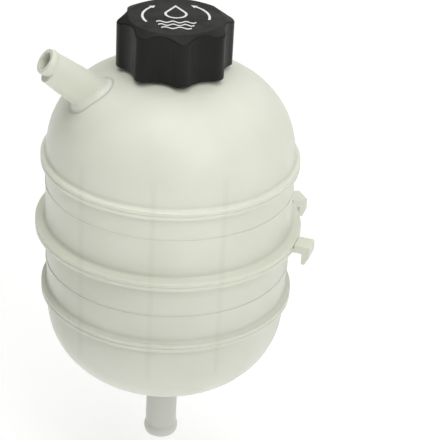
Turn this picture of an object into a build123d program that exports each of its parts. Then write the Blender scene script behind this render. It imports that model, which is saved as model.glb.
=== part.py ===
from build123d import *
from math import atan2, cos, hypot, pi, radians, sin, tan
import os

# Coolant expansion tank: two welded plastic shells, a screw cap and the valve cartridge
# that hangs from the cap. The origin is the centre of the bottom outlet's mouth, +Z runs
# up the tank's axis, and +X points midway between the two mounting hooks. Millimetres.

# Shell walls and the two-arc vaults that close them
WALL = 3.0
SEAM_RADIUS = 69.4
DOME_DRAFT = 0.7
DOME_SPRING = 45.3
DOME_RISE = 52.4
DOME_FLATTENING = 6.4
BOWL_DRAFT = 1.2
BOWL_SPRING = 52.0
BOWL_DEPTH = 48.0
BOWL_FLATTENING = 4.2

# Weld flange, stiffening rings and the fine step lines between them
FLANGE_WIDTH = 5.6
FLANGE_HALF = 2.35
UPPER_RING_PROUD = 2.98
LOWER_RING_PROUD = 3.29
RING_THICKNESS = 4.7
RING_OFFSET = 40.8
RING_ROOT_FILLET = 1.6
RIM_FILLET = 0.5
GROOVE_WIDTH = 0.6
STEP_RIDGE = 0.35
STEP_RIDGE_HEIGHT = 0.8
UPPER_STEP_LINE = 25.0
LOWER_STEP_LINE = 22.0

# Upright walls inside the tank, held off the shells by a clearance
BAFFLE_THICKNESS = 2.2
BAFFLE_PITCH = 37.5
BAFFLE_COUNT = 3
BAFFLE_SHIFT = -10.0
BAFFLE_UP = 60.0
BAFFLE_DOWN = 66.0
BAFFLE_CLEARANCE = 0.3

# Bottom outlet
OUTLET_LENGTH = 46.5
OUTLET_RADIUS = 9.2
OUTLET_BORE = 6.8
OUTLET_BEAD_RADIUS = 10.1
OUTLET_BEAD_LENGTH = 7.0
OUTLET_ROOT_FILLET = 1.5

# Degas spigot on the dome's shoulder, with the keel under it
SPIGOT_AZIMUTH = 200.0
SPIGOT_SLOPE = 34.5
SPIGOT_OVERHANG = 3.3
SPIGOT_RISE = 8.0
SPIGOT_RADIUS = 6.8
SPIGOT_BORE = 4.8
SPIGOT_BORE_DEPTH = 31.0
SPIGOT_PORT = 4.0
SPIGOT_BEAD_RADIUS = 7.35
SPIGOT_BEAD_LENGTH = 4.4
NOZZLE_LENGTH = 5.2
KEEL_RADIUS = 6.0
KEEL_DROP = 4.3
KEEL_SLOPE = 8.5
KEEL_LENGTH = 38.0
SPIGOT_ROOT_FILLET = 4.0

# Mounting hooks on the weld flange
HOOK_ANGLE = 20.0
HOOK_WIDTH = 10.8
HOOK_SLOT = 4.8
HOOK_TOOTH = 4.4
HOOK_TIP = 2.0
HOOK_DEPTH = 11.2
HOOK_TAPER_START = 6.4
HOOK_CORNER = 0.7
HOOK_CLEARANCE = 0.3

# Filler neck
NECK_BORE = 19.0
NECK_WALL = 3.0
NECK_HEIGHT = 17.3
NECK_ROOT = 8.0
NECK_FILLET = 0.8

# Cap knob
LOBES = 8
LOBE_CLOCK = 6.9
LOBE_HEIGHT = 4.3
LOBE_ROUND = 5.5
KNOB_DROP = 19.5
KNOB_RISE = 7.6
KNOB_EDGE_WIDTH = 6.0
KNOB_EDGE_DROP = 2.7
KNOB_EDGE_FILLET = 1.0
KNOB_WALL = 2.2
THREAD_ROOM = 2.2
SKIRT_WALL = 2.1
NOTCH_WALL = 0.9
KNOB_CROWN = 2.8
POCKET_ROOF = 6.0
TURN_CLEARANCE = 0.3
THRUST_RING_WIDTH = 3.0
SNAP_BEAD = 1.4
SNAP_HEIGHT = 0.8

# Valve housing that plugs into the neck
HOUSING_CLEARANCE = 0.5
HOUSING_WALL = 3.5
HOUSING_FLANGE_WIDTH = 4.8
HOUSING_FLANGE = 1.5
HOUSING_DEPTH = 22.5
HOUSING_FLOOR = 2.0
PORT_RADIUS = 7.6
SEAT_WIDTH = 1.2
SEAT_HEIGHT = 0.8
O_RING_RADIUS = 1.24
O_RING_DEPTH = 10.5
O_RING_CLEARANCE = 0.1
GROOVE_HEIGHT = 3.0
GUIDE_RIB = 1.5
GUIDE_RIB_ROOT = 0.75
GUIDES = 4
WINDOW_WIDTH = 6.0
WINDOW_HEIGHT = 3.5
WINDOW_DEPTH = 7.0
RETAINER_THICKNESS = 1.6
RETAINER_DEPTH = 3.0
RETAINER_CLEARANCE = 0.1
RETAINER_HOLE = 5.5
SNAP_LIP = 0.8
SNAP_LIP_HEIGHT = 1.0
RETAINER_VENTS = 6
RETAINER_VENT_RADIUS = 1.8
RETAINER_VENT_CIRCLE = 8.9

# Pressure valve and its spring
SEAL_THICKNESS = 2.0
SEAL_INSET = 2.8
SEAL_HOLE = 5.2
PLATE_THICKNESS = 1.5
PLATE_CLEARANCE = 0.2
PLATE_INSET = 1.2
PLATE_RIM = 1.0
PLATE_RIM_HEIGHT = 1.2
PLATE_BOSS_RADIUS = 2.5
PLATE_BOSS_HEIGHT = 2.2
PLATE_PORTS = 4
PLATE_PORT_CIRCLE = 3.75
PLATE_PORT_RADIUS = 0.9
PRESSURE_WIRE = 1.5
COIL_CLEARANCE = 0.75
PRESSURE_TURNS = 4.5

# Vacuum valve and its spring
STEM_RADIUS = 1.5
STEM_CLEARANCE = 0.06
STEM_NECK = 1.1
STEM_END = 1.0
HEAD_RADIUS = 6.6
HEAD_THICKNESS = 1.4
CLIP_RADIUS = 6.2
CLIP_THICKNESS = 0.8
CLIP_FIT = 0.03
VACUUM_WIRE = 0.6
VACUUM_COIL = 5.3
VACUUM_HEIGHT = 5.6
VACUUM_TURNS = 4.0

# Radii and heights that follow from the sizes above
DOME_RADIUS = SEAM_RADIUS - DOME_DRAFT
DOME_SHOULDER = DOME_RISE - DOME_FLATTENING
BOWL_RADIUS = SEAM_RADIUS - BOWL_DRAFT
BOWL_SHOULDER = BOWL_DEPTH - BOWL_FLATTENING
FLANGE_RADIUS = SEAM_RADIUS + FLANGE_WIDTH
SPIGOT_REACH = DOME_RADIUS + SPIGOT_OVERHANG
NECK_RADIUS = NECK_BORE + NECK_WALL
KNOB_BORE = NECK_RADIUS + THREAD_ROOM
KNOB_SKIRT = KNOB_BORE + SKIRT_WALL
LOBE_NOTCH = KNOB_SKIRT + NOTCH_WALL
LOBE_TIP = LOBE_NOTCH + LOBE_HEIGHT
KNOB_FLAT = LOBE_TIP - KNOB_EDGE_WIDTH
HOUSING_RADIUS = NECK_BORE - HOUSING_CLEARANCE
HOUSING_FLANGE_RADIUS = HOUSING_RADIUS + HOUSING_FLANGE_WIDTH
HOUSING_BORE = HOUSING_RADIUS - HOUSING_WALL
PLATE_RADIUS = HOUSING_BORE - PLATE_INSET
SEAL_RADIUS = PLATE_RADIUS - SEAL_INSET
PRESSURE_COIL = PLATE_RADIUS - PLATE_RIM - PRESSURE_WIRE / 2 - COIL_CLEARANCE
SEAM = OUTLET_LENGTH + BOWL_DEPTH + BOWL_SPRING
CROWN = SEAM + DOME_SPRING + DOME_RISE
RIM = CROWN + NECK_HEIGHT
KNOB_BOTTOM = RIM - KNOB_DROP
KNOB_TOP = RIM + KNOB_RISE
KNOB_ROOF = KNOB_TOP - KNOB_CROWN
HOUSING_TOP = RIM + HOUSING_FLANGE
HOUSING_BOTTOM = RIM - HOUSING_DEPTH
SEAT_TOP = HOUSING_BOTTOM + HOUSING_FLOOR + SEAT_HEIGHT
O_RING_HEIGHT = RIM - O_RING_DEPTH
O_RING_CENTRE = NECK_BORE - O_RING_CLEARANCE - O_RING_RADIUS
GROOVE_FLOOR = O_RING_CENTRE - O_RING_RADIUS
RETAINER_BOTTOM = RIM - RETAINER_DEPTH
RETAINER_TOP = RETAINER_BOTTOM + RETAINER_THICKNESS
PLATE_BOTTOM = SEAT_TOP + SEAL_THICKNESS
PLATE_TOP = PLATE_BOTTOM + PLATE_THICKNESS
CLIP_BOTTOM = PLATE_TOP + VACUUM_HEIGHT
CLIP_TOP = CLIP_BOTTOM + CLIP_THICKNESS


def radial_plane(angle, height=0.0):
    """Upright plane through the tank's axis: local X runs outwards at the angle, local Y runs up."""
    turn = radians(angle)
    return Plane(origin=(0, 0, height), x_dir=(cos(turn), sin(turn), 0), z_dir=(sin(turn), -cos(turn), 0))


def corners(sketch, points):
    """The sketch's corners that lie nearest to the points."""
    return [sketch.vertices().sort_by_distance((x, y, 0))[0] for x, y in points]


def vault(radius, spring, rise, shoulder, way):
    """Line from the spring line to the axis: a shoulder arc, then a tangent crown arc."""
    flat = radius - shoulder
    crown = (flat**2 + rise**2 - shoulder**2) / (2 * (rise - shoulder))
    fall = crown - rise
    meet = atan2(fall, flat)
    half = meet / 2
    high = (meet + pi / 2) / 2
    joint = (flat + shoulder * cos(meet), spring + way * shoulder * sin(meet))
    ThreePointArc(
        (radius, spring),
        (flat + shoulder * cos(half), spring + way * shoulder * sin(half)),
        joint,
    )
    ThreePointArc(
        joint,
        (crown * cos(high), spring + way * (crown * sin(high) - fall)),
        (0, spring + way * rise),
    )


def shell_section(radius, spring, rise, shoulder, way, inset):
    """Half section of a shell's outside, or of the space inside it where inset is the wall."""
    start = (SEAM_RADIUS - inset, SEAM)
    spring_height = SEAM + way * spring
    with BuildSketch() as section:
        with BuildLine():
            Line((0, SEAM), start)
            Line(start, (radius - inset, spring_height))
            vault(radius - inset, spring_height, rise - inset, shoulder - inset, way)
            Line((0, spring_height + way * (rise - inset)), (0, SEAM))
        make_face()
    return section.sketch


def wall_radius(radius, spring, offset):
    """Outside radius of the drafted wall at a distance from the weld plane."""
    return SEAM_RADIUS + (radius - SEAM_RADIUS) * offset / spring


def ring_sections(sketch, radius, spring, way, proud, step_line):
    """Adds the weld flange, the stiffening ring and the fine step line to a shell's section."""
    ring_height = SEAM + way * RING_OFFSET
    ring_wall = wall_radius(radius, spring, RING_OFFSET)
    ring_radius = ring_wall + proud
    flange_middle = SEAM + way * FLANGE_HALF / 2
    inner = SEAM_RADIUS - WALL
    with Locations(((FLANGE_RADIUS + inner) / 2, flange_middle)):
        Rectangle(FLANGE_RADIUS - inner, FLANGE_HALF)
    with Locations(((ring_radius + ring_wall - WALL / 2) / 2, ring_height)):
        Rectangle(proud + WALL / 2, RING_THICKNESS)
    step_wall = wall_radius(radius, spring, step_line)
    with Locations((step_wall, SEAM + way * step_line)):
        Rectangle(2 * STEP_RIDGE, STEP_RIDGE_HEIGHT)
    roots = [(wall_radius(radius, spring, FLANGE_HALF), SEAM + way * FLANGE_HALF)]
    rims = [(FLANGE_RADIUS, SEAM + way * FLANGE_HALF), (FLANGE_RADIUS, SEAM)]
    for side in (-1, 1):
        reach = RING_OFFSET + side * RING_THICKNESS / 2
        roots.append((wall_radius(radius, spring, reach), SEAM + way * reach))
        rims.append((ring_radius, SEAM + way * reach))
    fillet(corners(sketch, roots), radius=RING_ROOT_FILLET)
    fillet(corners(sketch, rims), radius=RIM_FILLET)
    with Locations((ring_radius, ring_height)):
        Rectangle(GROOVE_WIDTH, GROOVE_WIDTH, rotation=45, mode=Mode.SUBTRACT)


def inner_space(radius, spring, rise, shoulder, way, inset):
    """Solid that fills a shell, set in from its outside by the inset."""
    with BuildPart() as space:
        with BuildSketch(Plane.XZ):
            add(shell_section(radius, spring, rise, shoulder, way, inset))
        revolve(axis=Axis.Z)
    return space.part


def baffles(space, height):
    """Upright walls from the weld plane to a height, trimmed to the space inside a shell."""
    middle = (BAFFLE_COUNT - 1) / 2
    walls = []
    for index in range(BAFFLE_COUNT):
        place = BAFFLE_SHIFT + (index - middle) * BAFFLE_PITCH
        with BuildPart() as baffle:
            with BuildSketch(Plane.XY.offset(SEAM)):
                with Locations((place, 0)):
                    Rectangle(BAFFLE_THICKNESS, 2 * SEAM_RADIUS)
            extrude(amount=height)
            add(space, mode=Mode.INTERSECT)
        walls.append(baffle)
    return walls


def nozzle_section(length, radius, bead_radius, bead_length):
    """Half section of a hose nozzle along local X, mouth at zero, with a rounded bead."""
    with BuildSketch() as section:
        with BuildLine():
            Line((-length, 0), (0, 0))
            Line((0, 0), (0, radius))
            ThreePointArc((0, radius), (-bead_length / 2, bead_radius), (-bead_length, radius))
            Line((-bead_length, radius), (-length, radius))
            Line((-length, radius), (-length, 0))
        make_face()
    return section.sketch


def lobed_outline(inset):
    """Closed outline of round lobes and wide hollows that run into each other smoothly."""
    half_pitch = radians(180 / LOBES)
    lobe = LOBE_ROUND - inset
    centre = LOBE_TIP - LOBE_ROUND
    bottom = LOBE_NOTCH - inset
    spread = centre**2 + bottom**2 - 2 * centre * bottom * cos(half_pitch) - lobe**2
    hollow = spread / (2 * (lobe + centre * cos(half_pitch) - bottom))
    across = (bottom + hollow) * sin(half_pitch)
    along = (bottom + hollow) * cos(half_pitch) - centre
    share = lobe / hypot(across, along)
    touch_radius = hypot(centre + share * along, share * across)
    touch_angle = atan2(share * across, centre + share * along)

    def place(radius, angle):
        return (radius * cos(angle), radius * sin(angle))

    with BuildSketch() as outline:
        with BuildLine():
            for index in range(LOBES):
                middle = radians(LOBE_CLOCK) + 2 * index * half_pitch
                after = middle + half_pitch
                ThreePointArc(
                    place(touch_radius, middle - touch_angle),
                    place(centre + lobe, middle),
                    place(touch_radius, middle + touch_angle),
                )
                ThreePointArc(
                    place(touch_radius, middle + touch_angle),
                    place(bottom, after),
                    place(touch_radius, after + half_pitch - touch_angle),
                )
        make_face()
    return outline.sketch


def spring_line(radius, wire, bottom, height, turns):
    """Centre line of a round-wire compression spring that stands between two seats."""
    rise = height - wire
    return Helix(pitch=rise / turns, height=rise, radius=radius, center=(0, 0, bottom + wire / 2))


# Spaces inside the shells
dome_space = inner_space(DOME_RADIUS, DOME_SPRING, DOME_RISE, DOME_SHOULDER, 1, WALL)
bowl_space = inner_space(BOWL_RADIUS, BOWL_SPRING, BOWL_DEPTH, BOWL_SHOULDER, -1, WALL)

# Upright walls that divide the tank, low X to high X: one row in the dome, one in the bowl
trim = WALL + BAFFLE_CLEARANCE
dome_trim = inner_space(DOME_RADIUS, DOME_SPRING, DOME_RISE, DOME_SHOULDER, 1, trim)
bowl_trim = inner_space(BOWL_RADIUS, BOWL_SPRING, BOWL_DEPTH, BOWL_SHOULDER, -1, trim)
upper_baffles = baffles(dome_trim, BAFFLE_UP)
lower_baffles = baffles(bowl_trim, -BAFFLE_DOWN)

# The spigot's mouth, axis and side direction
spigot_plan = Vector(cos(radians(SPIGOT_AZIMUTH)), sin(radians(SPIGOT_AZIMUTH)), 0)
spigot_side = Vector(-spigot_plan.Y, spigot_plan.X, 0)
spigot_way = spigot_plan * cos(radians(SPIGOT_SLOPE)) + Vector(0, 0, sin(radians(SPIGOT_SLOPE)))
spigot_mouth = spigot_plan * SPIGOT_REACH + Vector(0, 0, CROWN + SPIGOT_RISE)

# Outside of the degas spigot: a beaded nozzle, and a keel that deepens towards the dome
with BuildPart() as spigot_body:
    with BuildSketch(Plane(origin=spigot_mouth, x_dir=spigot_way, z_dir=spigot_side)):
        add(nozzle_section(NOZZLE_LENGTH, SPIGOT_RADIUS, SPIGOT_BEAD_RADIUS, SPIGOT_BEAD_LENGTH))
    revolve(axis=Axis(spigot_mouth, spigot_way))
    for back in (NOZZLE_LENGTH, NOZZLE_LENGTH + KEEL_LENGTH):
        drop = KEEL_DROP + (back - NOZZLE_LENGTH) * tan(radians(KEEL_SLOPE))
        behind = spigot_mouth - spigot_way * back
        with BuildSketch(Plane(origin=behind, x_dir=spigot_side, z_dir=spigot_way)):
            Circle(SPIGOT_RADIUS)
            with Locations((0, -drop)):
                Circle(KEEL_RADIUS)
            make_hull()
    loft()

# Degas spigot: the nozzle and keel with their root fillet, down to the dome's outside
dome_body = inner_space(DOME_RADIUS, DOME_SPRING, DOME_RISE, DOME_SHOULDER, 1, 0)
with BuildPart() as degas_spigot:
    add(dome_body)
    add(spigot_body.part)
    fillet(degas_spigot.edges(Select.NEW), radius=SPIGOT_ROOT_FILLET)
    add(dome_body, mode=Mode.SUBTRACT)
    with BuildSketch(Plane(origin=spigot_mouth, x_dir=spigot_side, z_dir=spigot_way)):
        Circle(SPIGOT_BORE)
    extrude(amount=-SPIGOT_BORE_DEPTH, mode=Mode.SUBTRACT)
    with BuildSketch(Plane(origin=spigot_mouth, x_dir=spigot_side, z_dir=spigot_way)):
        Circle(SPIGOT_PORT)
    extrude(amount=-(NOZZLE_LENGTH + KEEL_LENGTH), mode=Mode.SUBTRACT)

# Upper shell: dome, filler neck, ring and half of the weld flange
with BuildPart() as upper_shell:
    with BuildSketch(Plane.XZ) as dome_section:
        add(shell_section(DOME_RADIUS, DOME_SPRING, DOME_RISE, DOME_SHOULDER, 1, 0))
        ring_sections(dome_section, DOME_RADIUS, DOME_SPRING, 1, UPPER_RING_PROUD, UPPER_STEP_LINE)
    revolve(axis=Axis.Z)
    with BuildSketch(Plane.XY.offset(CROWN - NECK_ROOT)):
        Circle(NECK_RADIUS)
    extrude(amount=NECK_HEIGHT + NECK_ROOT)
    fillet(upper_shell.edges(Select.NEW), radius=NECK_FILLET)
    add(dome_space, mode=Mode.SUBTRACT)
    with BuildSketch(Plane.XY.offset(RIM)):
        Circle(NECK_BORE)
    extrude(amount=-(NECK_HEIGHT + NECK_ROOT), mode=Mode.SUBTRACT)
    with BuildSketch(Plane(origin=spigot_mouth, x_dir=spigot_side, z_dir=spigot_way)):
        Circle(SPIGOT_PORT)
    extrude(amount=-(NOZZLE_LENGTH + KEEL_LENGTH), mode=Mode.SUBTRACT)

# Lower shell: bowl, bottom outlet, ring, half of the weld flange and the two hooks
with BuildPart() as lower_shell:
    with BuildSketch(Plane.XZ) as bowl_section:
        add(shell_section(BOWL_RADIUS, BOWL_SPRING, BOWL_DEPTH, BOWL_SHOULDER, -1, 0))
        ring_sections(bowl_section, BOWL_RADIUS, BOWL_SPRING, -1, LOWER_RING_PROUD, LOWER_STEP_LINE)
    revolve(axis=Axis.Z)
    with BuildSketch(Plane(origin=(0, 0, 0), x_dir=(0, 0, -1), z_dir=(0, -1, 0))):
        add(nozzle_section(OUTLET_LENGTH + 2 * WALL, OUTLET_RADIUS, OUTLET_BEAD_RADIUS, OUTLET_BEAD_LENGTH))
    revolve(axis=Axis.Z)
    fillet(lower_shell.edges(Select.NEW), radius=OUTLET_ROOT_FILLET)
    add(bowl_space, mode=Mode.SUBTRACT)
    with BuildSketch(Plane.XY):
        Circle(OUTLET_BORE)
    extrude(amount=OUTLET_LENGTH + 2 * WALL, mode=Mode.SUBTRACT)
    hook_inside = FLANGE_RADIUS + HOOK_SLOT
    hook_outside = hook_inside + HOOK_TOOTH
    hook_tip = FLANGE_HALF - HOOK_DEPTH
    for side in (-1, 1):
        with BuildSketch(radial_plane(side * HOOK_ANGLE, SEAM)) as hook:
            with BuildLine():
                Polyline(
                    (FLANGE_RADIUS - WALL / 2, -FLANGE_HALF),
                    (FLANGE_RADIUS - WALL / 2, 0),
                    (FLANGE_RADIUS + HOOK_CLEARANCE, 0),
                    (FLANGE_RADIUS + HOOK_CLEARANCE, FLANGE_HALF),
                    (hook_outside, FLANGE_HALF),
                    (hook_outside, FLANGE_HALF - HOOK_TAPER_START),
                    (hook_inside + HOOK_TIP, hook_tip),
                    (hook_inside, hook_tip),
                    (hook_inside, -FLANGE_HALF),
                    close=True,
                )
            make_face()
            bends = [(hook_outside, FLANGE_HALF), (hook_inside, -FLANGE_HALF)]
            fillet(corners(hook, bends), radius=HOOK_CORNER)
        extrude(amount=HOOK_WIDTH / 2, both=True)

# Cap knob: lobed grip with hollow lobes, a skirt for the thread, a thrust ring and a snap bead
with BuildPart() as cap_knob:
    with BuildSketch(Plane.XY.offset(KNOB_BOTTOM)):
        add(lobed_outline(0))
    extrude(amount=KNOB_TOP - KNOB_BOTTOM)
    rim_slope = KNOB_EDGE_DROP / (LOBE_TIP - KNOB_FLAT)
    outside = LOBE_TIP + KNOB_WALL
    with BuildSketch(Plane.XZ):
        with BuildLine():
            Polyline(
                (KNOB_FLAT, KNOB_TOP),
                (outside, KNOB_TOP),
                (outside, KNOB_TOP - rim_slope * (outside - KNOB_FLAT)),
                close=True,
            )
        make_face()
    revolve(axis=Axis.Z, mode=Mode.SUBTRACT)
    fillet(cap_knob.edges(Select.NEW), radius=KNOB_EDGE_FILLET)
    with BuildSketch(Plane.XY.offset(KNOB_BOTTOM)):
        Circle(KNOB_BORE)
    extrude(amount=KNOB_ROOF - KNOB_BOTTOM, mode=Mode.SUBTRACT)
    with BuildSketch(Plane.XY.offset(KNOB_BOTTOM)):
        add(lobed_outline(KNOB_WALL))
        Circle(KNOB_SKIRT, mode=Mode.SUBTRACT)
    extrude(amount=KNOB_TOP - POCKET_ROOF - KNOB_BOTTOM, mode=Mode.SUBTRACT)
    thrust_bottom = HOUSING_TOP + TURN_CLEARANCE
    with BuildSketch(Plane.XY.offset(thrust_bottom)):
        Circle(NECK_RADIUS)
        Circle(NECK_RADIUS - THRUST_RING_WIDTH, mode=Mode.SUBTRACT)
    extrude(amount=KNOB_ROOF - thrust_bottom)
    with BuildSketch(Plane.XY.offset(RIM - TURN_CLEARANCE - SNAP_HEIGHT)):
        Circle(KNOB_SKIRT)
        Circle(KNOB_BORE - SNAP_BEAD, mode=Mode.SUBTRACT)
    extrude(amount=SNAP_HEIGHT)

# Valve housing: flanged cup that plugs the neck, with vent windows, guide ribs and a valve seat
with BuildPart() as valve_housing:
    floor = HOUSING_BOTTOM + HOUSING_FLOOR
    groove_low = O_RING_HEIGHT - GROOVE_HEIGHT / 2
    groove_high = O_RING_HEIGHT + GROOVE_HEIGHT / 2
    lip_top = RETAINER_TOP + SNAP_LIP_HEIGHT
    with BuildSketch(Plane.XZ):
        with BuildLine():
            Polyline(
                (PORT_RADIUS, HOUSING_BOTTOM),
                (HOUSING_RADIUS, HOUSING_BOTTOM),
                (HOUSING_RADIUS, groove_low),
                (GROOVE_FLOOR, groove_low),
                (GROOVE_FLOOR, groove_high),
                (HOUSING_RADIUS, groove_high),
                (HOUSING_RADIUS, RIM),
                (HOUSING_FLANGE_RADIUS, RIM),
                (HOUSING_FLANGE_RADIUS, HOUSING_TOP),
                (HOUSING_BORE, HOUSING_TOP),
                (HOUSING_BORE, lip_top),
                (HOUSING_BORE - SNAP_LIP, RETAINER_TOP),
                (HOUSING_BORE, RETAINER_TOP),
                (HOUSING_BORE, floor),
                (PORT_RADIUS + SEAT_WIDTH, floor),
                (PORT_RADIUS + SEAT_WIDTH, SEAT_TOP),
                (PORT_RADIUS, SEAT_TOP),
                close=True,
            )
        make_face()
    revolve(axis=Axis.Z)
    rib_inside = PLATE_RADIUS + PLATE_CLEARANCE
    rib_outside = HOUSING_BORE + GUIDE_RIB_ROOT
    with BuildSketch(Plane.XY.offset(floor)):
        with PolarLocations((rib_inside + rib_outside) / 2, GUIDES):
            Rectangle(rib_outside - rib_inside, GUIDE_RIB)
    extrude(amount=RETAINER_BOTTOM - floor)
    with BuildSketch(Plane.XY.offset(RIM - WINDOW_DEPTH)):
        with PolarLocations((HOUSING_BORE + HOUSING_RADIUS) / 2, GUIDES, start_angle=180 / GUIDES):
            Rectangle(2 * (HOUSING_RADIUS - HOUSING_BORE), WINDOW_WIDTH)
    extrude(amount=WINDOW_HEIGHT, mode=Mode.SUBTRACT)

# O-ring that seals the housing in the neck
with BuildPart() as housing_o_ring:
    with Locations((0, 0, O_RING_HEIGHT)):
        Torus(O_RING_CENTRE, O_RING_RADIUS)

# Vented disc that snaps in under the housing's lip and holds the pressure spring
with BuildPart() as spring_retainer:
    with BuildSketch(Plane.XY.offset(RETAINER_BOTTOM)):
        Circle(HOUSING_BORE - RETAINER_CLEARANCE)
        Circle(RETAINER_HOLE, mode=Mode.SUBTRACT)
        with PolarLocations(RETAINER_VENT_CIRCLE, RETAINER_VENTS):
            Circle(RETAINER_VENT_RADIUS, mode=Mode.SUBTRACT)
    extrude(amount=RETAINER_THICKNESS)

# Rubber ring between the housing's seat and the pressure plate
with BuildPart() as pressure_seal:
    with BuildSketch(Plane.XY.offset(SEAT_TOP)):
        Circle(SEAL_RADIUS)
        Circle(SEAL_HOLE, mode=Mode.SUBTRACT)
    extrude(amount=SEAL_THICKNESS)

# Pressure plate: rimmed disc with a guide boss and ports for the vacuum valve
with BuildPart() as pressure_plate:
    with BuildSketch(Plane.XZ):
        guide = STEM_RADIUS + STEM_CLEARANCE
        with BuildLine():
            Polyline(
                (guide, PLATE_BOTTOM),
                (PLATE_RADIUS, PLATE_BOTTOM),
                (PLATE_RADIUS, PLATE_TOP + PLATE_RIM_HEIGHT),
                (PLATE_RADIUS - PLATE_RIM, PLATE_TOP + PLATE_RIM_HEIGHT),
                (PLATE_RADIUS - PLATE_RIM, PLATE_TOP),
                (PLATE_BOSS_RADIUS, PLATE_TOP),
                (PLATE_BOSS_RADIUS, PLATE_TOP + PLATE_BOSS_HEIGHT),
                (guide, PLATE_TOP + PLATE_BOSS_HEIGHT),
                close=True,
            )
        make_face()
    revolve(axis=Axis.Z)
    with BuildSketch(Plane.XY.offset(PLATE_BOTTOM)):
        with PolarLocations(PLATE_PORT_CIRCLE, PLATE_PORTS):
            Circle(PLATE_PORT_RADIUS)
    extrude(amount=PLATE_THICKNESS, mode=Mode.SUBTRACT)

# Spring that holds the pressure plate on its seat
with BuildPart() as pressure_spring:
    with BuildLine() as pressure_coil:
        spring_line(PRESSURE_COIL, PRESSURE_WIRE, PLATE_TOP, RETAINER_BOTTOM - PLATE_TOP, PRESSURE_TURNS)
    with BuildSketch(Plane(origin=pressure_coil.line @ 0, z_dir=pressure_coil.line % 0)):
        Circle(PRESSURE_WIRE / 2)
    sweep(is_frenet=True)

# Vacuum valve: a head under the seal and a stem up through the plate, grooved for its clip
with BuildPart() as vacuum_valve:
    with BuildSketch(Plane.XZ):
        with BuildLine():
            Polyline(
                (0, SEAT_TOP - HEAD_THICKNESS),
                (HEAD_RADIUS, SEAT_TOP - HEAD_THICKNESS),
                (HEAD_RADIUS, SEAT_TOP),
                (STEM_RADIUS, SEAT_TOP),
                (STEM_RADIUS, CLIP_BOTTOM),
                (STEM_NECK, CLIP_BOTTOM),
                (STEM_NECK, CLIP_TOP),
                (STEM_RADIUS, CLIP_TOP),
                (STEM_RADIUS, CLIP_TOP + STEM_END),
                (0, CLIP_TOP + STEM_END),
                close=True,
            )
        make_face()
    revolve(axis=Axis.Z)

# Slotted clip on the stem, which the vacuum spring pushes up
with BuildPart() as vacuum_clip:
    with BuildSketch(Plane.XY.offset(CLIP_BOTTOM)):
        Circle(CLIP_RADIUS)
        Circle(STEM_NECK + CLIP_FIT, mode=Mode.SUBTRACT)
        with Locations((CLIP_RADIUS / 2, 0)):
            Rectangle(CLIP_RADIUS, 2 * STEM_NECK, mode=Mode.SUBTRACT)
    extrude(amount=CLIP_THICKNESS)

# Light spring that keeps the vacuum valve shut
with BuildPart() as vacuum_spring:
    with BuildLine() as vacuum_coil:
        spring_line(VACUUM_COIL, VACUUM_WIRE, PLATE_TOP, VACUUM_HEIGHT, VACUUM_TURNS)
    with BuildSketch(Plane(origin=vacuum_coil.line @ 0, z_dir=vacuum_coil.line % 0)):
        Circle(VACUUM_WIRE / 2)
    sweep(is_frenet=True)

os.makedirs("parts", exist_ok=True)
pieces = {
    "upper_shell": upper_shell,
    "degas_spigot": degas_spigot,
    "lower_shell": lower_shell,
    "cap_knob": cap_knob,
    "valve_housing": valve_housing,
    "housing_o_ring": housing_o_ring,
    "spring_retainer": spring_retainer,
    "pressure_spring": pressure_spring,
    "pressure_plate": pressure_plate,
    "pressure_seal": pressure_seal,
    "vacuum_valve": vacuum_valve,
    "vacuum_clip": vacuum_clip,
    "vacuum_spring": vacuum_spring,
}
for index in range(BAFFLE_COUNT):
    pieces[f"upper_baffle_{index + 1}"] = upper_baffles[index]
    pieces[f"lower_baffle_{index + 1}"] = lower_baffles[index]
for name, piece in pieces.items():
    piece.part.label = name
    export_step(piece.part, f"parts/{name}.step")
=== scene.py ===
import math

import bpy
from mathutils import Matrix, Vector


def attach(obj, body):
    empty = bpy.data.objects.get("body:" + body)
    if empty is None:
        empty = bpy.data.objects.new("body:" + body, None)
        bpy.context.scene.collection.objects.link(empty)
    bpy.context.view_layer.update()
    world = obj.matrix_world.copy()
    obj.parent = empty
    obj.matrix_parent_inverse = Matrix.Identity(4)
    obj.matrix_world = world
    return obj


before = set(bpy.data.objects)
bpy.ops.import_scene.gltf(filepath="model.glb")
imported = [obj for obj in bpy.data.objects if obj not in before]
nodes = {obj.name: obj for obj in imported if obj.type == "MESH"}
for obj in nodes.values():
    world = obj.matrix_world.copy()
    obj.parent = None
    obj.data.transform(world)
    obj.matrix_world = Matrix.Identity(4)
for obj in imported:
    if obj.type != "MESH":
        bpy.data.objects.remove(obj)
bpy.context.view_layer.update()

# Heights and radii of the frame in metres
MM = 0.001
SEAM = 146.5 * MM
KNOB_TOP = 269.1 * MM

# Inner walls that show faintly: their places in X, and the heights over which their lines fade
BAFFLES = (-47.5 * MM, -10.0 * MM, 27.5 * MM)
BAFFLE_HALF = 1.1 * MM
BAFFLE_FOOT = (SEAM - 68.0 * MM, SEAM - 60.0 * MM)
BAFFLE_HEAD = (SEAM + 52.0 * MM, SEAM + 62.0 * MM)

# Screw thread on the neck and in the cap
PITCH = 5.0 * MM
THREAD_STEPS = 72
THREAD_START = 0.4
THREAD_EMBED = 0.3 * MM
THREAD_ROOT_HALF = 1.1 * MM
THREAD_CREST_HALF = 0.4 * MM
NECK_RADIUS = 22.0 * MM
NECK_CREST = 23.3 * MM
NECK_THREAD = (245.8 * MM, 258.4 * MM)
CAP_BORE = 24.2 * MM
CAP_CREST = 22.7 * MM
CAP_THREAD = (243.5 * MM, 256.5 * MM)

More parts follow.
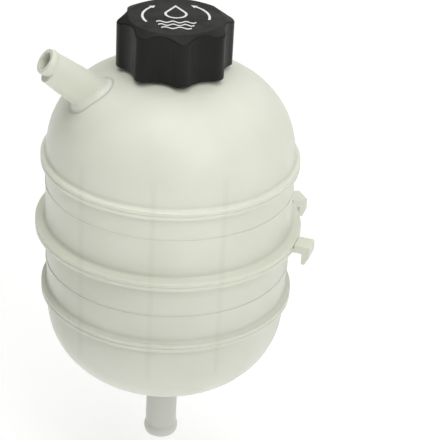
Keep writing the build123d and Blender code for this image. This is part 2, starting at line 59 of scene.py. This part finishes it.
# Print on the cap in millimetres: arrow arcs in degrees, then each wave's centre, half length and turns
PRINT_LIFT = 0.06
ARROW_RADIUS = 17.8
ARROW_WIDTH = 1.3
ARROW_HEAD_LENGTH = 3.4
ARROW_HEAD_WIDTH = 3.6
ARROWS = (("print_arrow_left", 209, 138, -1), ("print_arrow_right", -12, 52, 1))
WAVES = ((-8.0, 10.5, 3), (-12.0, 9.5, 3), (-16.0, 8.0, 2))
WAVE_HEIGHT = 1.0
WAVE_WIDTH = 1.4

# Floor below the hanging tank, and soft lights: name, place, size in metres, power in watts
FLOOR = -60.0 * MM
FLOOR_SIZE = 60.0
LIGHT_TARGET = Vector((0.0, 0.0, 0.16))
LIGHTS = (
    ("key", (0.45, -0.95, 1.05), 0.7, 5.0),
    ("top", (-0.1, -0.2, 1.6), 1.1, 6.0),
    ("back", (0.4, 1.2, 0.9), 1.0, 1.5),
)

# Camera at the photograph's viewing angle
CAMERA_PLACE = Vector((-0.0219, -0.7849, 0.5862))
CAMERA_PITCH = 0.5098
CAMERA_YAW = 0.0651
CAMERA_ROLL = 0.056
CAMERA_LENS = 130.04
SENSOR = 36.0


def make_camera():
    """Camera whose axes are turned by yaw and pitch, then rolled about the line of sight."""
    forward = Vector((
        math.sin(CAMERA_YAW) * math.cos(CAMERA_PITCH),
        math.cos(CAMERA_YAW) * math.cos(CAMERA_PITCH),
        -math.sin(CAMERA_PITCH),
    ))
    right = Vector((math.cos(CAMERA_YAW), -math.sin(CAMERA_YAW), 0.0))
    up = right.cross(forward)
    across = right * math.cos(CAMERA_ROLL) + up * math.sin(CAMERA_ROLL)
    upward = up * math.cos(CAMERA_ROLL) - right * math.sin(CAMERA_ROLL)
    data = bpy.data.cameras.new("camera")
    data.lens = CAMERA_LENS
    data.sensor_width = SENSOR
    camera = bpy.data.objects.new("camera", data)
    bpy.context.scene.collection.objects.link(camera)
    turn = Matrix((across, upward, -forward)).transposed()
    camera.matrix_world = Matrix.Translation(CAMERA_PLACE) @ turn.to_4x4()
    bpy.context.scene.camera = camera


make_camera()
bpy.context.scene.view_settings.view_transform = "Standard"
bpy.context.scene.view_settings.look = "None"


def linear(red, green, blue):
    """Scene colour of an 8-bit display colour."""
    out = []
    for value in (red, green, blue):
        share = value / 255
        out.append(share / 12.92 if share <= 0.04045 else ((share + 0.055) / 1.055) ** 2.4)
    return (*out, 1.0)


def set_range(node, low, high, to_low, to_high):
    """Makes a Map Range node map low..high to to_low..to_high."""
    for name, value in (("From Min", low), ("From Max", high), ("To Min", to_low), ("To Max", to_high)):
        node.inputs[name].default_value = value


class Tree:
    """Shorthand for a material's nodes."""

    def __init__(self, name):
        self.material = bpy.data.materials.new(name)
        self.material.use_nodes = True
        self.nodes = self.material.node_tree.nodes
        self.links = self.material.node_tree.links
        self.shader = self.nodes["Principled BSDF"]
        self.place = self.nodes.new("ShaderNodeTexCoord").outputs["Object"]

    def join(self, source, target):
        self.links.new(source, target)

    def noise(self, scale, detail=2.0, stretch=None):
        texture = self.nodes.new("ShaderNodeTexNoise")
        texture.inputs["Scale"].default_value = scale
        texture.inputs["Detail"].default_value = detail
        source = self.place
        if stretch:
            mapping = self.nodes.new("ShaderNodeMapping")
            mapping.inputs["Scale"].default_value = stretch
            self.join(self.place, mapping.inputs["Vector"])
            source = mapping.outputs["Vector"]
        self.join(source, texture.inputs["Vector"])
        return texture.outputs["Fac"]

    def span(self, source, low, high, to_low, to_high):
        """Maps low..high smoothly to to_low..to_high."""
        node = self.nodes.new("ShaderNodeMapRange")
        node.interpolation_type = "SMOOTHSTEP"
        set_range(node, low, high, to_low, to_high)
        self.join(source, node.inputs["Value"])
        return node.outputs["Result"]

    def math(self, kind, first, second=None):
        node = self.nodes.new("ShaderNodeMath")
        node.operation = kind
        for index, value in enumerate((first, second)):
            if value is None:
                continue
            if isinstance(value, (int, float)):
                node.inputs[index].default_value = value
            else:
                self.join(value, node.inputs[index])
        return node.outputs["Value"]

    def mix(self, share, first, second):
        node = self.nodes.new("ShaderNodeMix")
        node.data_type = "RGBA"
        if isinstance(share, (int, float)):
            node.inputs[0].default_value = share
        else:
            self.join(share, node.inputs[0])
        for index, value in ((6, first), (7, second)):
            if isinstance(value, tuple):
                node.inputs[index].default_value = value
            else:
                self.join(value, node.inputs[index])
        return node.outputs[2]

    def axis(self, name):
        node = self.nodes.new("ShaderNodeSeparateXYZ")
        self.join(self.place, node.inputs["Vector"])
        return node.outputs[name]

    def bump(self, height, strength, distance):
        node = self.nodes.new("ShaderNodeBump")
        node.inputs["Strength"].default_value = strength
        node.inputs["Distance"].default_value = distance
        self.join(height, node.inputs["Height"])
        self.join(node.outputs["Normal"], self.shader.inputs["Normal"])

    def set(self, **values):
        for name, value in values.items():
            self.shader.inputs[name.replace("_", " ")].default_value = value


def tank_plastic():
    """Natural translucent plastic: milky, greyer in the bowl and outlet, inner walls showing faintly."""
    tree = Tree("natural_translucent_plastic")
    height = tree.axis("Z")
    across = tree.axis("X")
    cloud = tree.span(tree.noise(14.0, 3.0), 0.35, 0.65, 0.0, 1.0)
    pale = tree.mix(cloud, linear(226, 228, 215), linear(219, 221, 207))
    grey = tree.mix(cloud, linear(214, 216, 204), linear(208, 210, 197))
    shell = tree.mix(tree.span(height, 0.10, 0.19, 0.0, 1.0), grey, pale)
    colour = tree.mix(tree.span(height, 0.030, 0.062, 1.0, 0.0), shell, linear(206, 207, 199))
    inside = tree.span(height, *BAFFLE_FOOT, 0.0, 1.0)
    inside = tree.math("MULTIPLY", inside, tree.span(height, *BAFFLE_HEAD, 1.0, 0.0))
    for place in BAFFLES:
        away = tree.math("ABSOLUTE", tree.math("SUBTRACT", across, place))
        line = tree.span(away, BAFFLE_HALF * 0.5, BAFFLE_HALF * 2.2, 0.07, 0.0)
        colour = tree.mix(tree.math("MULTIPLY", line, inside), colour, linear(150, 152, 138))
    specks = tree.span(tree.noise(420.0, 2.0), 0.66, 0.78, 0.0, 0.10)
    colour = tree.mix(specks, colour, linear(176, 176, 160))
    tree.join(colour, tree.shader.inputs["Base Color"])
    scuffs = tree.noise(60.0, 4.0, (1.0, 1.0, 0.25))
    tree.join(tree.span(scuffs, 0.35, 0.7, 0.33, 0.47), tree.shader.inputs["Roughness"])
    tree.set(Subsurface_Weight=0.55, Subsurface_Radius=(0.012, 0.012, 0.009), IOR=1.49)
    tree.bump(tree.noise(700.0, 3.0), 0.10, 0.0004)
    return tree.material


def dark_plastic(name, dark, light, rough_low, rough_high):
    """Black moulded plastic with a fine spark-eroded grain and faint rub marks."""
    tree = Tree(name)
    cloud = tree.span(tree.noise(40.0, 4.0), 0.35, 0.7, 0.0, 1.0)
    tree.join(tree.mix(cloud, dark, light), tree.shader.inputs["Base Color"])
    rub = tree.noise(110.0, 5.0, (1.0, 1.0, 0.2))
    tree.join(tree.span(rub, 0.35, 0.7, rough_low, rough_high), tree.shader.inputs["Roughness"])
    tree.set(IOR=1.5, Specular_IOR_Level=0.26)
    tree.bump(tree.noise(2200.0, 2.0), 0.25, 0.0003)
    return tree.material


def metal(name, first, second, rough_low, rough_high, stretch):
    """Drawn, stamped or turned metal with brushed lines and slight tarnish."""
    tree = Tree(name)
    tarnish = tree.span(tree.noise(90.0, 4.0), 0.35, 0.7, 0.0, 1.0)
    tree.join(tree.mix(tarnish, first, second), tree.shader.inputs["Base Color"])
    brush = tree.noise(900.0, 3.0, stretch)
    tree.join(tree.span(brush, 0.3, 0.7, rough_low, rough_high), tree.shader.inputs["Roughness"])
    tree.set(Metallic=1.0)
    tree.bump(brush, 0.12, 0.0002)
    return tree.material


def rubber():
    tree = Tree("seal_rubber_black")
    bloom = tree.span(tree.noise(130.0, 4.0), 0.45, 0.75, 0.0, 1.0)
    tree.join(tree.mix(bloom, linear(28, 28, 28), linear(48, 48, 46)), tree.shader.inputs["Base Color"])
    tree.join(tree.span(tree.noise(260.0), 0.3, 0.7, 0.5, 0.7), tree.shader.inputs["Roughness"])
    tree.bump(tree.noise(1500.0), 0.2, 0.0002)
    return tree.material


def print_white():
    tree = Tree("print_white")
    worn = tree.span(tree.noise(500.0, 4.0), 0.55, 0.75, 0.0, 0.35)
    tree.join(tree.mix(worn, linear(232, 233, 230), linear(120, 122, 116)), tree.shader.inputs["Base Color"])
    tree.join(tree.span(tree.noise(300.0), 0.3, 0.7, 0.45, 0.6), tree.shader.inputs["Roughness"])
    tree.bump(tree.noise(1800.0), 0.15, 0.0001)
    return tree.material


tank_material = tank_plastic()
cap_material = dark_plastic(
    "cap_black_plastic", linear(13, 14, 9), linear(22, 23, 18), 0.42, 0.55
)
cartridge_material = dark_plastic(
    "cartridge_dark_plastic", linear(46, 46, 50), linear(60, 60, 64), 0.42, 0.58
)
rubber_material = rubber()
spring_material = metal(
    "spring_wire_steel", linear(190, 190, 186), linear(160, 160, 156), 0.22, 0.4, (1.0, 1.0, 0.3)
)
plate_material = metal(
    "stamped_plate_steel", linear(200, 200, 196), linear(176, 176, 170), 0.25, 0.42, (1.0, 1.0, 1.0)
)
brass_material = metal(
    "turned_brass", linear(205, 174, 106), linear(176, 144, 84), 0.22, 0.4, (1.0, 1.0, 8.0)
)
print_material = print_white()

finishes = {
    "upper_shell": tank_material,
    "degas_spigot": tank_material,
    "lower_shell": tank_material,
    "cap_knob": cap_material,
    "valve_housing": cartridge_material,
    "spring_retainer": cartridge_material,
    "housing_o_ring": rubber_material,
    "pressure_seal": rubber_material,
    "pressure_spring": spring_material,
    "vacuum_spring": spring_material,
    "vacuum_clip": spring_material,
    "pressure_plate": plate_material,
    "vacuum_valve": brass_material,
}
for name, material in finishes.items():
    mesh = nodes[name].data
    mesh.materials.clear()
    mesh.materials.append(material)


def mesh_piece(name, points, faces, body, material):
    mesh = bpy.data.meshes.new(name)
    mesh.from_pydata(points, [], faces)
    mesh.update()
    piece = bpy.data.objects.new(name, mesh)
    bpy.context.scene.collection.objects.link(piece)
    mesh.materials.append(material)
    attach(piece, body)
    return piece


def thread(name, root, crest, low, high, body, slot, material):
    """Right-hand trapezoid thread, its ends faded into the root, on a wall of radius root."""
    out = 1 if crest > root else -1
    embed = THREAD_EMBED * out
    count = int(THREAD_STEPS * (high - low) / PITCH)
    fade = THREAD_STEPS // 4
    points, faces = [], []
    for index in range(count + 1):
        angle = THREAD_START + 2 * math.pi * index / THREAD_STEPS
        height = low + PITCH * index / THREAD_STEPS
        full = min(1.0, index / fade, (count - index) / fade)
        reach = root + (crest - root) * full
        for radius, rise in (
            (root - embed, -THREAD_ROOT_HALF),
            (reach, -THREAD_CREST_HALF),
            (reach, THREAD_CREST_HALF),
            (root - embed, THREAD_ROOT_HALF),
        ):
            points.append((radius * math.cos(angle), radius * math.sin(angle), height + rise))
    for index in range(count):
        base = 4 * index
        for edge in range(4):
            after = (edge + 1) % 4
            ring = (base + edge, base + after, base + 4 + after, base + 4 + edge)
            faces.append(ring if out > 0 else ring[::-1])
    faces.append((0, 3, 2, 1))
    faces.append((4 * count, 4 * count + 1, 4 * count + 2, 4 * count + 3))
    piece = mesh_piece(name, points, faces, body, material)
    for polygon in piece.data.polygons:
        polygon.use_smooth = False
    return piece


thread("neck_thread", NECK_RADIUS, NECK_CREST, *NECK_THREAD, "tank", "tank_plastic", tank_material)
thread("cap_thread", CAP_BORE, CAP_CREST, *CAP_THREAD, "knob", "cap_plastic", cap_material)


def print_shape(name, loops):
    """Thin print on the cap's flat top, made of filled outlines."""
    points, faces = [], []
    for loop in loops:
        first = len(points)
        points.extend((x * MM, y * MM, KNOB_TOP + PRINT_LIFT * MM) for x, y in loop)
        faces.append(tuple(range(first, len(points))))
    return mesh_piece(name, points, faces, "knob", print_material)


def arc_band(radius, width, start, end, steps=28):
    """Quads along an arc, angles in degrees."""
    quads = []
    for index in range(steps):
        a, b = (math.radians(start + (end - start) * (index + k) / steps) for k in (0, 1))
        near, far = radius - width / 2, radius + width / 2
        quads.append([
            (near * math.cos(a), near * math.sin(a)),
            (far * math.cos(a), far * math.sin(a)),
            (far * math.cos(b), far * math.sin(b)),
            (near * math.cos(b), near * math.sin(b)),
        ])
    return quads


def arrow_head(radius, angle, length, width, way):
    """Triangle that points along the circle at the angle."""
    turn = math.radians(angle)
    centre = Vector((radius * math.cos(turn), radius * math.sin(turn)))
    along = Vector((-math.sin(turn), math.cos(turn))) * way
    side = Vector((math.cos(turn), math.sin(turn)))
    base = (centre + side * width / 2, centre - side * width / 2)
    return [[tuple(base[0]), tuple(base[1]), tuple(centre + along * length)]]


for arrow, tail, tip, way in ARROWS:
    band = arc_band(ARROW_RADIUS, ARROW_WIDTH, tail, tip)
    print_shape(arrow, band + arrow_head(ARROW_RADIUS, tip, ARROW_HEAD_LENGTH, ARROW_HEAD_WIDTH, way))


def drop_band(centre_y, size, width, steps=30):
    """Outline of a drop of liquid: a round base that narrows to a point."""
    def edge(reach):
        loop = []
        for index in range(steps + 1):
            turn = math.radians(-210 + 240 * index / steps)
            loop.append((reach * math.cos(turn), centre_y + reach * math.sin(turn)))
        loop.append((0.0, centre_y + 2.0 * reach))
        return loop

    inner, outer = edge(size - width), edge(size)
    count = len(inner)
    return [[inner[i], outer[i], outer[(i + 1) % count], inner[(i + 1) % count]] for i in range(count)]


def wave_band(centre_y, half, height, width, turns, steps=48):
    """Wavy line of liquid, made of quads."""
    quads = []
    for index in range(steps):
        pair = []
        for k in (0, 1):
            share = (index + k) / steps
            rise = height * math.sin(2 * math.pi * turns * share)
            pair.append((-half + 2 * half * share, centre_y + rise))
        (x0, y0), (x1, y1) = pair
        low = [(x0, y0 - width / 2), (x1, y1 - width / 2)]
        high = [(x1, y1 + width / 2), (x0, y0 + width / 2)]
        quads.append(low + high)
    return quads


print_shape("print_drop", drop_band(3.2, 6.2, 1.3))
waves = []
for centre_y, half, turns in WAVES:
    waves += wave_band(centre_y, half, WAVE_HEIGHT, WAVE_WIDTH, turns)
print_shape("print_waves", waves)


def pale_floor():
    """Plain pale floor."""
    floor_mesh = bpy.data.meshes.new("floor")
    size = FLOOR_SIZE
    corners = [(-size, -size, FLOOR), (size, -size, FLOOR), (size, size, FLOOR), (-size, size, FLOOR)]
    floor_mesh.from_pydata(corners, [], [(0, 1, 2, 3)])
    floor = bpy.data.objects.new("floor", floor_mesh)
    bpy.context.scene.collection.objects.link(floor)
    tree = Tree("floor_white")
    tree.set(Base_Color=(0.93, 0.93, 0.93, 1.0), Roughness=0.9, Specular_IOR_Level=0.1)
    tree.set(Emission_Color=(1.0, 1.0, 1.0, 1.0), Emission_Strength=0.22)
    floor_mesh.materials.append(tree.material)


def studio_room():
    """Soft room light: darker to the left than to the right, with a bright ceiling."""
    world = bpy.data.worlds.new("studio")
    bpy.context.scene.world = world
    world.use_nodes = True
    made = world.node_tree.nodes
    joined = world.node_tree.links
    direction = made.new("ShaderNodeTexCoord").outputs["Generated"]
    split = made.new("ShaderNodeSeparateXYZ")
    joined.new(direction, split.inputs["Vector"])
    level = made.new("ShaderNodeMapRange")
    set_range(level, -0.9, 0.7, 0.02, 0.30)
    joined.new(split.outputs["X"], level.inputs["Value"])
    ceiling = made.new("ShaderNodeMapRange")
    set_range(ceiling, 0.25, 0.9, 0.0, 0.70)
    joined.new(split.outputs["Z"], ceiling.inputs["Value"])
    total = made.new("ShaderNodeMath")
    joined.new(level.outputs["Result"], total.inputs[0])
    joined.new(ceiling.outputs["Result"], total.inputs[1])
    joined.new(total.outputs["Value"], made["Background"].inputs["Strength"])
    made["Background"].inputs["Color"].default_value = (1.0, 1.0, 0.985, 1.0)


def soft_lights():
    """Square area lights, all turned to the middle of the tank."""
    for name, place, size, energy in LIGHTS:
        data = bpy.data.lights.new(name, "AREA")
        data.size = size
        data.energy = energy
        light = bpy.data.objects.new(name, data)
        bpy.context.scene.collection.objects.link(light)
        light.location = place
        light.rotation_mode = "QUATERNION"
        light.rotation_quaternion = (LIGHT_TARGET - Vector(place)).to_track_quat("-Z", "Y")


pale_floor()
studio_room()
soft_lights()
